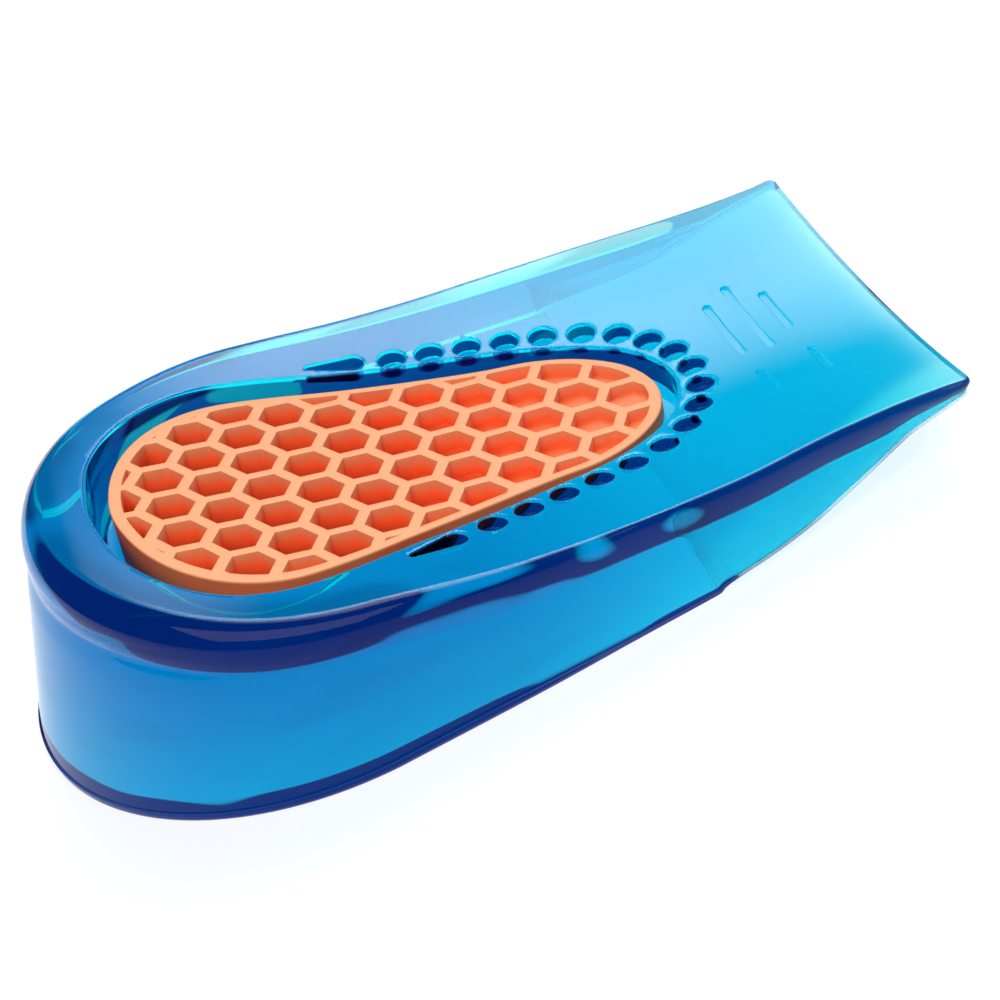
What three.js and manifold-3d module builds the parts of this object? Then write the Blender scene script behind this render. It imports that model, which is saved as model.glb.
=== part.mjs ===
// Heel cup: a clear gel wedge with a soft honeycomb insert in an egg-shaped pocket.
// Millimetres, +Z up, +X from the heel to the thin toe edge, origin under the middle of the base.
// Each table holds [share along the top's length from the heel, share of the named size].

import * as THREE from 'three';
import { mergeVertices } from 'three/addons/utils/BufferGeometryUtils.js';
import Module from 'manifold-3d';

const wasm = await Module();
wasm.setup();

// Gel body
const bodyLength = 108;
const heelLean = 8;
const rimHalfWidth = 31.9;
const heelHeight = 26;
const heelArcLength = 29.8;
const heelRimRound = 3.8;
const sideRimRound = 0.9;
const baseHeelArc = 35;
const baseGrowth = 0.7;
const toeEdgeRound = 0.45;
const toeRoundReach = 3;
const baseToeInset = 0.3;

const rimWidths = [[0.298, 1], [0.44, 0.989], [0.58, 0.964], [0.72, 0.937], [0.85, 0.884], [0.93, 0.869],
  [1, 0.872]];
const baseWidths = [[0.273, 1], [0.44, 0.978], [0.58, 0.945], [0.72, 0.908], [0.85, 0.85], [0.93, 0.834],
  [1, 0.834]];
const rimHeights = [[0, 1], [0.04, 0.996], [0.083, 0.965], [0.17, 0.872], [0.33, 0.731], [0.45, 0.615],
  [0.55, 0.546], [0.66, 0.492], [0.74, 0.458], [0.81, 0.435], [0.9, 0.4], [1, 0.358]];
const dishHeights = [[0, 1], [0.04, 0.996], [0.083, 0.962], [0.2, 0.815], [0.33, 0.662], [0.473, 0.519],
  [0.55, 0.454], [0.645, 0.373], [0.7, 0.338], [0.766, 0.312], [0.84, 0.292], [0.92, 0.281], [1, 0.266]];
const undersideEdge = [[0.66, 0], [0.67, 0.019], [0.73, 0.04], [0.78, 0.062], [0.84, 0.119], [0.89, 0.181],
  [0.92, 0.223], [0.95, 0.248], [1, 0.285]];
const undersideDrop = [[0.72, 0], [0.8, 0.023], [0.86, 0.042], [0.92, 0.058], [1, 0.069]];

// Insert and pocket
const insertLength = 61.9;
const insertHalfWidth = 19.9;
const insertStart = 0.107;
const endMoat = 2.1;
const sideMoat = 3;
const seatSlope = 0.16;
const seatHeight = 5.3;
const seatGap = 0.3;
const insertFloor = 0.8;
const insertBorder = 1.35;
const insertTops = [[0.1, 0.919], [0.3, 0.686], [0.5, 0.487], [0.7, 0.323], [0.76, 0.28]];
const insertWidths = [[0, 0], [0.01, 0.258], [0.034, 0.497], [0.072, 0.704], [0.122, 0.864], [0.179, 0.962],
  [0.242, 1], [0.34, 0.958], [0.473, 0.852], [0.603, 0.758], [0.735, 0.668], [0.826, 0.622], [0.905, 0.507],
  [0.965, 0.331], [0.991, 0.171], [1, 0]];
const pocketWidths = [[0, 0], [0.008, 0.245], [0.027, 0.476], [0.067, 0.694], [0.118, 0.856], [0.18, 0.961],
  [0.253, 1], [0.336, 0.965], [0.464, 0.86], [0.585, 0.777], [0.706, 0.694], [0.805, 0.616], [0.888, 0.502],
  [0.949, 0.367], [0.985, 0.197], [1, 0]];

// Honeycomb
const cellPitch = 6.02;
const cellWall = 1.15;
const cellRowStart = 0.2216;
const cellFirstY = 14.38;

// Ring of blind recesses outside the pocket's narrow end
const dotDiameter = 3.3;
const dotDepth = 1.7;
const ringReach = 27.2;
const ringHalfWidth = 19.8;
const dotPlaces = [[0.473, 1], [0.516, 0.956], [0.559, 0.907], [0.602, 0.855], [0.645, 0.797], [0.687, 0.708],
  [0.723, 0.578], [0.749, 0.413], [0.766, 0.217]];
const slotTip = [0.379, 1.123];
const slotEnd = [0.429, 1.063];
const slotHalfWidth = 1.4;

const pocketLength = insertLength + 2 * endMoat;
const pocketHalfWidth = insertHalfWidth + sideMoat;
const topLength = bodyLength - heelLean;
const heelX = -bodyLength / 2 + heelLean;
const toeX = bodyLength / 2;
const tilt = Math.atan(seatSlope);
const seatNormal = new THREE.Vector3(Math.sin(tilt), 0, Math.cos(tilt));
const cutterRise = 4;
const eggTip = 0.02;

function stationX(share) {
  return heelX + share * topLength;
}

function shareOf(x) {
  return (x - heelX) / topLength;
}

// Smooth value along a table, with level ends and no overshoot between stations.
function along(table, share) {
  const last = table.length - 1;
  if (share <= table[0][0]) {
    return table[0][1];
  }
  if (share >= table[last][0]) {
    return table[last][1];
  }
  let i = 0;
  while (share > table[i + 1][0]) {
    i += 1;
  }
  const slope = (k) => (table[k + 1][1] - table[k][1]) / (table[k + 1][0] - table[k][0]);
  const knot = (k) => {
    if (k === 0) {
      return slope(0);
    }
    if (k === last) {
      return slope(last - 1);
    }
    const a = slope(k - 1);
    const b = slope(k);
    return a * b <= 0 ? 0 : (2 * a * b) / (a + b);
  };
  const span = table[i + 1][0] - table[i][0];
  const u = (share - table[i][0]) / span;
  const v = 1 - u;
  const rise = knot(i) * span;
  const fall = knot(i + 1) * span;
  return table[i][1] * (1 + 2 * u) * v * v + rise * u * v * v
    + table[i + 1][1] * u * u * (3 - 2 * u) - fall * u * u * v;
}

// Closed plan outline: round heel, sides from a table, straight toe edge. Starts at the toe's middle.
function tongueOutline(arc, halfWidth, widths, growth, endX) {
  const arcCount = 18;
  const sideCount = 24;
  const toeCount = 6;
  const arcEnd = widths[0][0];
  const half = [];
  for (let i = 0; i <= toeCount; i += 1) {
    const y = (i / toeCount) * (halfWidth * along(widths, 1) + growth);
    half.push(new THREE.Vector2(endX, y));
  }
  for (let i = 1; i <= sideCount; i += 1) {
    const share = 1 - (i / sideCount) * (1 - arcEnd);
    const x = endX - (1 - share) * topLength;
    half.push(new THREE.Vector2(x, halfWidth * along(widths, share) + growth));
  }
  for (let i = 1; i <= arcCount; i += 1) {
    const angle = ((1 - i / arcCount) * Math.PI) / 2;
    const x = endX - (1 - arcEnd) * topLength - arc * Math.cos(angle);
    half.push(new THREE.Vector2(x, (halfWidth + growth) * Math.sin(angle)));
  }
  const other = half.slice(1, -1).reverse().map((p) => new THREE.Vector2(p.x, -p.y));
  return half.concat(other);
}

// How far a point lies from the middle line, as a share of the body's half width there.
function reachOf(x, y) {
  return Math.min(Math.abs(y) / (rimHalfWidth * along(rimWidths, shareOf(x))), 1);
}

// The dished top: low along the middle line, highest at the two sides.
function dishZ(x, y) {
  const share = shareOf(x);
  const low = heelHeight * along(dishHeights, share);
  const high = heelHeight * along(rimHeights, share);
  return low + (high - low) * reachOf(x, y) ** 2.2;
}

// The underside: flat under the heel, rising and dished under the toe.
function undersideZ(x, y) {
  const share = shareOf(x);
  const edge = heelHeight * along(undersideEdge, share);
  const drop = heelHeight * along(undersideDrop, share);
  return edge - drop * (1 - reachOf(x, y) ** 2);
}

// Point on the middle line that a plan point shrinks towards.
function spineX(x) {
  const first = heelX + topLength * 0.3;
  const last = toeX - topLength * 0.06;
  return THREE.MathUtils.clamp(x, first, last);
}

function geometryFrom(points, faces) {
  const geometry = new THREE.BufferGeometry();
  const places = points.flatMap((p) => [p.x, p.y, p.z]);
  geometry.setAttribute('position', new THREE.Float32BufferAttribute(places, 3));
  geometry.setIndex(faces.flat());
  return tidy(geometry);
}

// Welds shared vertices and leaves out triangles that have shrunk to a line.
function tidy(geometry) {
  geometry.deleteAttribute('normal');
  geometry.deleteAttribute('uv');
  const welded = mergeVertices(geometry, 1e-4);
  const index = Array.from(welded.index.array);
  const kept = [];
  for (let i = 0; i < index.length; i += 3) {
    const [a, b, c] = index.slice(i, i + 3);
    if (a !== b && b !== c && c !== a) {
      kept.push(a, b, c);
    }
  }
  welded.setIndex(kept);
  return welded;
}

// Skin over rings of equal count, each ring running anticlockwise seen from above, top ring first.
function skin(rings) {
  const count = rings[0].length;
  const points = rings.flat();
  const faces = [];
  for (let r = 0; r < rings.length - 1; r += 1) {
    for (let i = 0; i < count; i += 1) {
      const j = (i + 1) % count;
      const a = r * count + i;
      const b = r * count + j;
      faces.push([a, a + count, b], [b, a + count, b + count]);
    }
  }
  return geometryFrom(points, faces);
}

function roundAt(x) {
  const share = THREE.MathUtils.clamp(shareOf(x) / 0.6, 0, 1);
  const body = THREE.MathUtils.lerp(heelRimRound, sideRimRound, share);
  const nearToe = THREE.MathUtils.clamp((toeX - x) / toeRoundReach, 0, 1);
  return THREE.MathUtils.lerp(toeEdgeRound, body, nearToe);
}

function gelSkin() {
  const rim = tongueOutline(heelArcLength, rimHalfWidth, rimWidths, 0, toeX);
  const base = tongueOutline(baseHeelArc, rimHalfWidth, baseWidths, baseGrowth, toeX - baseToeInset);
  const middle = rim.map((p) => new THREE.Vector2(spineX(p.x), 0));
  const rings = [];
  const shrink = (i, share) => rim[i].clone().lerp(middle[i], 1 - share);
  const crestShare = (i) => 1 - roundAt(rim[i].x) / rim[i].distanceTo(middle[i]);
  for (const share of [0, 0.2, 0.4, 0.55, 0.7, 0.82, 0.91, 0.97]) {
    rings.push(rim.map((p, i) => {
      const q = shrink(i, share * crestShare(i));
      return new THREE.Vector3(q.x, q.y, dishZ(q.x, q.y));
    }));
  }
  for (const turn of [0, 22, 45, 68, 90]) {
    const angle = THREE.MathUtils.degToRad(turn);
    rings.push(rim.map((p, i) => {
      const r = roundAt(p.x);
      const c = shrink(i, crestShare(i));
      const q = c.clone().lerp(p, Math.sin(angle));
      return new THREE.Vector3(q.x, q.y, dishZ(c.x, c.y) - r * (1 - Math.cos(angle)));
    }));
  }
  for (const share of [0.5, 1]) {
    rings.push(rim.map((p, i) => {
      const c = shrink(i, crestShare(i));
      const shoulder = dishZ(c.x, c.y) - roundAt(p.x);
      const q = p.clone().lerp(base[i], share);
      const foot = undersideZ(base[i].x, base[i].y);
      return new THREE.Vector3(q.x, q.y, THREE.MathUtils.lerp(shoulder, foot, share));
    }));
  }
  for (const share of [0.9, 0.75, 0.55, 0.35, 0.15, 0]) {
    rings.push(base.map((p) => {
      const q = p.clone().lerp(new THREE.Vector2(spineX(p.x), 0), 1 - share);
      return new THREE.Vector3(q.x, q.y, undersideZ(q.x, q.y));
    }));
  }
  return skin(rings);
}

// Plan curve of an egg, from its tables, as stations of [x, half width].
function eggStations(startX, length, halfWidth, widths) {
  const count = 36;
  const stations = [];
  for (let i = 0; i <= count; i += 1) {
    const share = (1 - Math.cos((Math.PI * i) / count)) / 2;
    const curve = eggPoint(widths, share);
    const tip = i === 0 || i === count ? 0 : eggTip;
    stations.push([startX + curve[0] * length, Math.max(curve[1] * halfWidth, tip)]);
  }
  return stations;
}

function insertStations(inset) {
  const startX = stationX(insertStart) + inset;
  return eggStations(startX, insertLength - 2 * inset, insertHalfWidth - inset, insertWidths);
}

function pocketStartX() {
  return stationX(insertStart) - endMoat;
}

// The egg's table read as a smooth closed curve, so that its ends are round.
function eggPoint(widths, share) {
  const flat = 0.35;
  const places = widths.map((w) => new THREE.Vector3(w[0], w[1] * flat, 0));
  const curve = new THREE.CatmullRomCurve3(places, false, 'centripetal');
  let low = 0;
  let high = 1;
  for (let i = 0; i < 24; i += 1) {
    const middle = (low + high) / 2;
    if (curve.getPoint(middle).x < share) {
      low = middle;
    } else {
      high = middle;
    }
  }
  const p = curve.getPoint((low + high) / 2);
  return [p.x, Math.max(p.y / flat, 0)];
}

function insertTopZ(x) {
  return heelHeight * along(insertTops, shareOf(x));
}

function seatZ(x) {
  const end = pocketStartX() + pocketLength;
  return seatHeight + (end - x) * seatSlope;
}

// Moves a point along the pocket's axis: down to a given height above the seat, or up by a length.
function dropTo(point, above) {
  const depth = (point.z - seatZ(point.x)) * Math.cos(tilt) - above;
  return point.clone().addScaledVector(seatNormal, -depth);
}

// A plug with an egg-shaped plan, standing on the sloping seat. rise lifts its top along the axis.
function plug(stations, rise, above) {
  const rings = stations.map(([x, half]) => {
    const top = [-half, half].map((y) => new THREE.Vector3(x, y, insertTopZ(x)));
    const bottom = top.map((p) => dropTo(p, above));
    const lifted = top.map((p) => p.clone().addScaledVector(seatNormal, rise));
    return [lifted[0], lifted[1], bottom[1], bottom[0]];
  });
  const points = rings.flat();
  const faces = [];
  for (let r = 0; r < rings.length - 1; r += 1) {
    for (let i = 0; i < 4; i += 1) {
      const j = (i + 1) % 4;
      faces.push([r * 4 + i, r * 4 + 4 + i, r * 4 + j], [r * 4 + j, r * 4 + 4 + i, r * 4 + 4 + j]);
    }
  }
  const last = (rings.length - 1) * 4;
  faces.push([0, 1, 2], [0, 2, 3], [last, last + 2, last + 1], [last, last + 3, last + 2]);
  return geometryFrom(points, faces);
}

// A straight cutter whose plan is a polygon on a surface, running along the pocket's axis.
function column(outline, bottomOf) {
  const rings = [
    outline.map((p) => p.clone().addScaledVector(seatNormal, cutterRise)),
    outline.map(bottomOf),
  ];
  const count = outline.length;
  const points = rings.flat();
  const faces = [];
  for (let i = 0; i < count; i += 1) {
    const j = (i + 1) % count;
    faces.push([i, count + i, j], [j, count + i, count + j]);
  }
  for (let i = 1; i < count - 1; i += 1) {
    faces.push([0, i, i + 1], [count, count + i + 1, count + i]);
  }
  return geometryFrom(points, faces);
}

function hexagonAt(x, y) {
  const radius = (cellPitch - cellWall) / Math.sqrt(3);
  const corners = [];
  for (let i = 0; i < 6; i += 1) {
    const angle = (i * Math.PI) / 3;
    const px = x + radius * Math.cos(angle);
    corners.push(new THREE.Vector3(px, y + radius * Math.sin(angle), insertTopZ(px)));
  }
  return corners;
}

// Rows of cells along the length, each row shifted half a pitch sideways from the last.
function cellCentres() {
  const step = (cellPitch * Math.sqrt(3)) / 2;
  const reachX = [stationX(insertStart), stationX(insertStart) + insertLength];
  const centres = [];
  for (let row = -4; row <= 10; row += 1) {
    for (let column = -8; column <= 8; column += 1) {
      const x = stationX(cellRowStart) + row * step;
      const y = cellFirstY - (column + (Math.abs(row) % 2) / 2) * cellPitch;
      const inside = x > reachX[0] - cellPitch / 2 && x < reachX[1] + cellPitch / 2;
      if (inside && Math.abs(y) < insertHalfWidth + cellPitch / 2) {
        centres.push([x, y]);
      }
    }
  }
  return centres;
}

function solidOf(geometry) {
  const clean = tidy(geometry);
  const mesh = new wasm.Mesh({
    numProp: 3,
    vertProperties: new Float32Array(clean.attributes.position.array),
    triVerts: new Uint32Array(clean.index.array),
  });
  return new wasm.Manifold(mesh);
}

function geometryOf(solid) {
  const mesh = solid.getMesh();
  const geometry = new THREE.BufferGeometry();
  geometry.setAttribute('position', new THREE.BufferAttribute(new Float32Array(mesh.vertProperties), 3));
  geometry.setIndex(new THREE.BufferAttribute(new Uint32Array(mesh.triVerts), 1));
  geometry.computeVertexNormals();
  return geometry;
}

function joined(solids) {
  return solids.reduce((whole, next) => whole.add(next));
}

function honeycombInsert() {
  const outer = insertStations(0);
  const inner = insertStations(insertBorder);
  const body = solidOf(plug(outer, 0, seatGap));
  const window = solidOf(plug(inner, cutterRise, seatGap + insertFloor));
  const cells = cellCentres().map(([x, y]) => {
    const bottomOf = (p) => dropTo(p, seatGap + insertFloor);
    return solidOf(column(hexagonAt(x, y), bottomOf));
  });
  return body.subtract(joined(cells).intersect(window));
}

function surfacePoint(x, y) {
  return new THREE.Vector3(x, y, dishZ(x, y));
}

function recess(outline, depth) {
  return solidOf(column(outline, (p) => p.clone().addScaledVector(seatNormal, -depth)));
}

function dotOutline(x, y) {
  const outline = [];
  for (let i = 0; i < 16; i += 1) {
    const angle = (i * Math.PI) / 8;
    const px = x + (dotDiameter / 2) * Math.cos(angle);
    const py = y + (dotDiameter / 2) * Math.sin(angle);
    outline.push(surfacePoint(px, py));
  }
  return outline;
}

function slotOutline(side) {
  const end = new THREE.Vector2(stationX(slotEnd[0]), slotEnd[1] * ringHalfWidth);
  const tip = new THREE.Vector2(stationX(slotTip[0]), slotTip[1] * ringHalfWidth);
  const back = tip.clone().sub(end).angle();
  const outline = [];
  for (let i = 0; i <= 10; i += 1) {
    const angle = back + Math.PI / 2 + (i * Math.PI) / 10;
    const offset = new THREE.Vector2(Math.cos(angle), Math.sin(angle)).multiplyScalar(slotHalfWidth);
    outline.push(end.clone().add(offset));
  }
  outline.push(tip);
  const placed = outline.map((p) => surfacePoint(p.x, p.y * side));
  return side > 0 ? placed : placed.reverse();
}

function gelCup() {
  const pocket = eggStations(pocketStartX(), pocketLength, pocketHalfWidth, pocketWidths);
  const cutters = [solidOf(plug(pocket, cutterRise, 0))];
  for (const [along1, across] of dotPlaces) {
    for (const side of [1, -1]) {
      cutters.push(recess(dotOutline(stationX(along1), side * across * ringHalfWidth), dotDepth));
    }
  }
  cutters.push(recess(dotOutline(stationX(0.5) + ringReach, 0), dotDepth));
  cutters.push(recess(slotOutline(1), dotDepth), recess(slotOutline(-1), dotDepth));
  return solidOf(gelSkin()).subtract(joined(cutters));
}

function named(name, solid, color, roughness) {
  const material = new THREE.MeshStandardMaterial({ color, roughness, metalness: 0 });
  const mesh = new THREE.Mesh(geometryOf(solid), material);
  mesh.name = name;
  return mesh;
}

const group = new THREE.Group();
group.add(named('gel_cup', gelCup(), 0x1fa6de, 0.12));
group.add(named('honeycomb_insert', honeycombInsert(), 0xf2a077, 0.55));

export default group;
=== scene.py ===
import bpy
import bmesh
import math
import numpy as np
from mathutils import Matrix, Vector


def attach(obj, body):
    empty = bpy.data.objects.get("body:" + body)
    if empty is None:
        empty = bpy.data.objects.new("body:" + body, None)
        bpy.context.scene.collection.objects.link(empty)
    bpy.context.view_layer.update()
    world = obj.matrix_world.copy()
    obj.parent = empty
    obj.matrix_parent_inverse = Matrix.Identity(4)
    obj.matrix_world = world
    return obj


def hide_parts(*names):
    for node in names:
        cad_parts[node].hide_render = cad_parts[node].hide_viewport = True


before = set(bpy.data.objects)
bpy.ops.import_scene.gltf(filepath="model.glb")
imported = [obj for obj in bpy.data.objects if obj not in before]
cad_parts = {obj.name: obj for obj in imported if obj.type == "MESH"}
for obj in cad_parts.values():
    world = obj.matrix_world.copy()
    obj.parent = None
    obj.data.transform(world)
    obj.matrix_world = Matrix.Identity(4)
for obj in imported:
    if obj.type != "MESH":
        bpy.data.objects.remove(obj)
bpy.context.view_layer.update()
mm = 0.001

# Camera: the photograph looks at the near side from above, with the object's toe turned up in the picture.
cameraView = {
    "place": (-0.0194, -0.2626, 0.1840),
    "azimuth": 5.27,
    "elevation": 34.5,
    "roll": -23.0,
    "lens": 100.1,
}


def addCamera(view):
    data = bpy.data.cameras.new("photoCamera")
    data.lens = view["lens"]
    data.sensor_width = 36
    data.clip_start, data.clip_end = 0.01, 20
    cam = bpy.data.objects.new("photoCamera", data)
    turn = Matrix.Rotation(math.radians(-view["azimuth"]), 4, "Z")
    tip = Matrix.Rotation(math.radians(90 - view["elevation"]), 4, "X")
    roll = Matrix.Rotation(math.radians(view["roll"]), 4, "Z")
    cam.matrix_world = Matrix.Translation(view["place"]) @ turn @ tip @ roll
    bpy.context.scene.collection.objects.link(cam)
    bpy.context.scene.camera = cam
    return cam


addCamera(cameraView)
print("camera placed")

# Gel body. Tables hold [share along the top from the heel, share of the named size], lengths in millimetres.
gel = {
    "length": 108.0,
    "heelLean": 8.0,
    "halfWidth": 31.9,
    "height": 26.0,
    "heelArc": 29.8,
    "heelRound": 3.8,
    "sideRound": 0.9,
    "toeRound": 0.45,
    "toeCorner": 1.0,
    "baseArc": 35.0,
    "baseGrowth": 0.7,
    "baseToeInset": 0.3,
    "lipHeight": 1.0,
    "lipStep": 0.35,
    "lipRound": 0.3,
    "cling": 0.04,
    "beadHeel": 5.6,
    "beadToe": 3.0,
    "creaseDepth": 0.42,
    "creaseReturn": 3.0,
}
rimWidths = [(0.298, 1), (0.44, 0.989), (0.58, 0.964), (0.72, 0.937), (0.85, 0.884), (0.93, 0.869), (1, 0.872)]
baseWidths = [(0.273, 1), (0.44, 0.978), (0.58, 0.945), (0.72, 0.908), (0.85, 0.85), (0.93, 0.834), (1, 0.834)]
rimHeights = [(0, 1), (0.04, 0.996), (0.083, 0.965), (0.17, 0.872), (0.33, 0.731), (0.45, 0.615), (0.55, 0.546),
              (0.66, 0.492), (0.74, 0.458), (0.81, 0.435), (0.9, 0.4), (1, 0.358)]
dishHeights = [(0, 1), (0.04, 0.996), (0.083, 0.962), (0.2, 0.815), (0.33, 0.662), (0.473, 0.519), (0.55, 0.454),
               (0.645, 0.373), (0.7, 0.338), (0.766, 0.312), (0.84, 0.292), (0.92, 0.281), (1, 0.266)]
undersideEdge = [(0.66, 0), (0.67, 0.019), (0.73, 0.04), (0.78, 0.062), (0.84, 0.119), (0.89, 0.181),
                 (0.92, 0.223), (0.95, 0.248), (1, 0.285)]
undersideDrop = [(0.72, 0), (0.8, 0.023), (0.86, 0.042), (0.92, 0.058), (1, 0.069)]

topLength = gel["length"] - gel["heelLean"]
heelX = -gel["length"] / 2 + gel["heelLean"]
toeX = gel["length"] / 2


def stationX(share):
    return heelX + share * topLength


def shareOf(x):
    return (np.asarray(x, float) - heelX) / topLength


# Smooth value along a table.
def along(table, share):
    xs = np.array([p[0] for p in table], float)
    ys = np.array([p[1] for p in table], float)
    share = np.clip(np.asarray(share, float), xs[0], xs[-1])
    slopes = np.diff(ys) / np.diff(xs)
    knots = np.empty(len(xs))
    knots[0], knots[-1] = slopes[0], slopes[-1]
    a, b = slopes[:-1], slopes[1:]
    total = np.where(a + b == 0, 1, a + b)
    knots[1:-1] = np.where(a * b <= 0, 0, 2 * a * b / total)
    i = np.clip(np.searchsorted(xs, share, side="right") - 1, 0, len(xs) - 2)
    span = xs[i + 1] - xs[i]
    u = (share - xs[i]) / span
    v = 1 - u
    return (ys[i] * (1 + 2 * u) * v * v + knots[i] * span * u * v * v
            + ys[i + 1] * u * u * (3 - 2 * u) - knots[i + 1] * span * u * u * v)


def reachOf(x, y):
    return np.minimum(np.abs(y) / (gel["halfWidth"] * along(rimWidths, shareOf(x))), 1)


def dishZ(x, y):
    low = gel["height"] * along(dishHeights, shareOf(x))
    high = gel["height"] * along(rimHeights, shareOf(x))
    return low + (high - low) * reachOf(x, y) ** 2.2


def undersideZ(x, y):
    edge = gel["height"] * along(undersideEdge, shareOf(x))
    drop = gel["height"] * along(undersideDrop, shareOf(x))
    return edge - drop * (1 - reachOf(x, y) ** 2)


# Closed plan outline, anticlockwise from the middle of the toe edge.
def tongueOutline(arc, widths, growth, endX, inset=0.0):
    half = []
    corner = gel["toeCorner"]
    toeWidth = gel["halfWidth"] * float(along(widths, 1)) + growth - inset
    endX = endX - inset * 0.3
    for i in range(25):
        half.append((endX, (toeWidth - corner) * i / 24))
    for i in range(1, 9):
        turn = math.pi / 2 * i / 8
        half.append((endX - corner + corner * math.cos(turn), toeWidth - corner + corner * math.sin(turn)))
    shareStart = 1 - (toeX - (endX - corner)) / topLength + (toeX - endX) / topLength
    for i in range(1, 111):
        share = shareStart + (widths[0][0] - shareStart) * i / 110
        half.append((endX - (1 - share) * topLength, gel["halfWidth"] * float(along(widths, share)) + growth - inset))
    for i in range(1, 91):
        angle = math.pi / 2 * (1 - i / 90)
        x = endX - (1 - widths[0][0]) * topLength - (arc - inset) * math.cos(angle)
        half.append((x, (gel["halfWidth"] + growth - inset) * math.sin(angle)))
    half = np.array(half)
    other = half[1:-1][::-1] * [1, -1]
    return np.vstack([half, other])


def roundAt(x):
    share = np.clip(shareOf(x) / 0.6, 0, 1)
    body = gel["heelRound"] + (gel["sideRound"] - gel["heelRound"]) * share
    nearToe = np.clip((toeX - x) / 3, 0, 1)
    return gel["toeRound"] + (body - gel["toeRound"]) * nearToe


# Vertices and faces over rings of equal count, top ring first, each anticlockwise from above.
def skin(rings, closeStart=False, closeEnd=False):
    count = len(rings[0])
    verts = np.vstack(rings)
    faces = []
    for r in range(len(rings) - 1):
        for i in range(count):
            j = (i + 1) % count
            a, b = r * count + i, r * count + j
            faces.append((a, a + count, b + count, b))
    if closeStart:
        faces.append(tuple(range(count)))
    if closeEnd:
        base = (len(rings) - 1) * count
        faces.append(tuple(base + i for i in reversed(range(count))))
    return verts, faces


weldGap = 2e-6  # metres


def meshObject(name, verts, faces):
    mesh = bpy.data.meshes.new(name)
    mesh.from_pydata([tuple(v) for v in np.asarray(verts) * mm], [], faces)
    bm = bmesh.new()
    bm.from_mesh(mesh)
    bmesh.ops.remove_doubles(bm, verts=bm.verts, dist=weldGap)
    bmesh.ops.dissolve_degenerate(bm, edges=bm.edges, dist=1e-7)
    bmesh.ops.recalc_face_normals(bm, faces=bm.faces)
    bm.to_mesh(mesh)
    bm.free()
    obj = bpy.data.objects.new(name, mesh)
    bpy.context.scene.collection.objects.link(obj)
    return obj


# Unit normals in plan of an anticlockwise outline.
def outward(outline):
    step = np.roll(outline, -1, axis=0) - np.roll(outline, 1, axis=0)
    normal = np.column_stack([step[:, 1], -step[:, 0]])
    return normal / np.linalg.norm(normal, axis=1)[:, None]


# Underside height, where the flat part clings to the floor without an air gap.
def restingZ(x, y):
    lifted = np.clip((x - stationX(0.66)) / 2, 0, 1)
    return np.maximum(undersideZ(x, y), 0.05 * lifted) - gel["cling"] * (1 - lifted)


# How far the rounded bead reaches down the outside of the rim.
def beadHeight(x, height):
    full = gel["beadHeel"] + (gel["beadToe"] - gel["beadHeel"]) * np.clip(shareOf(x), 0, 1)
    return np.minimum(full, 0.62 * height)


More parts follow.
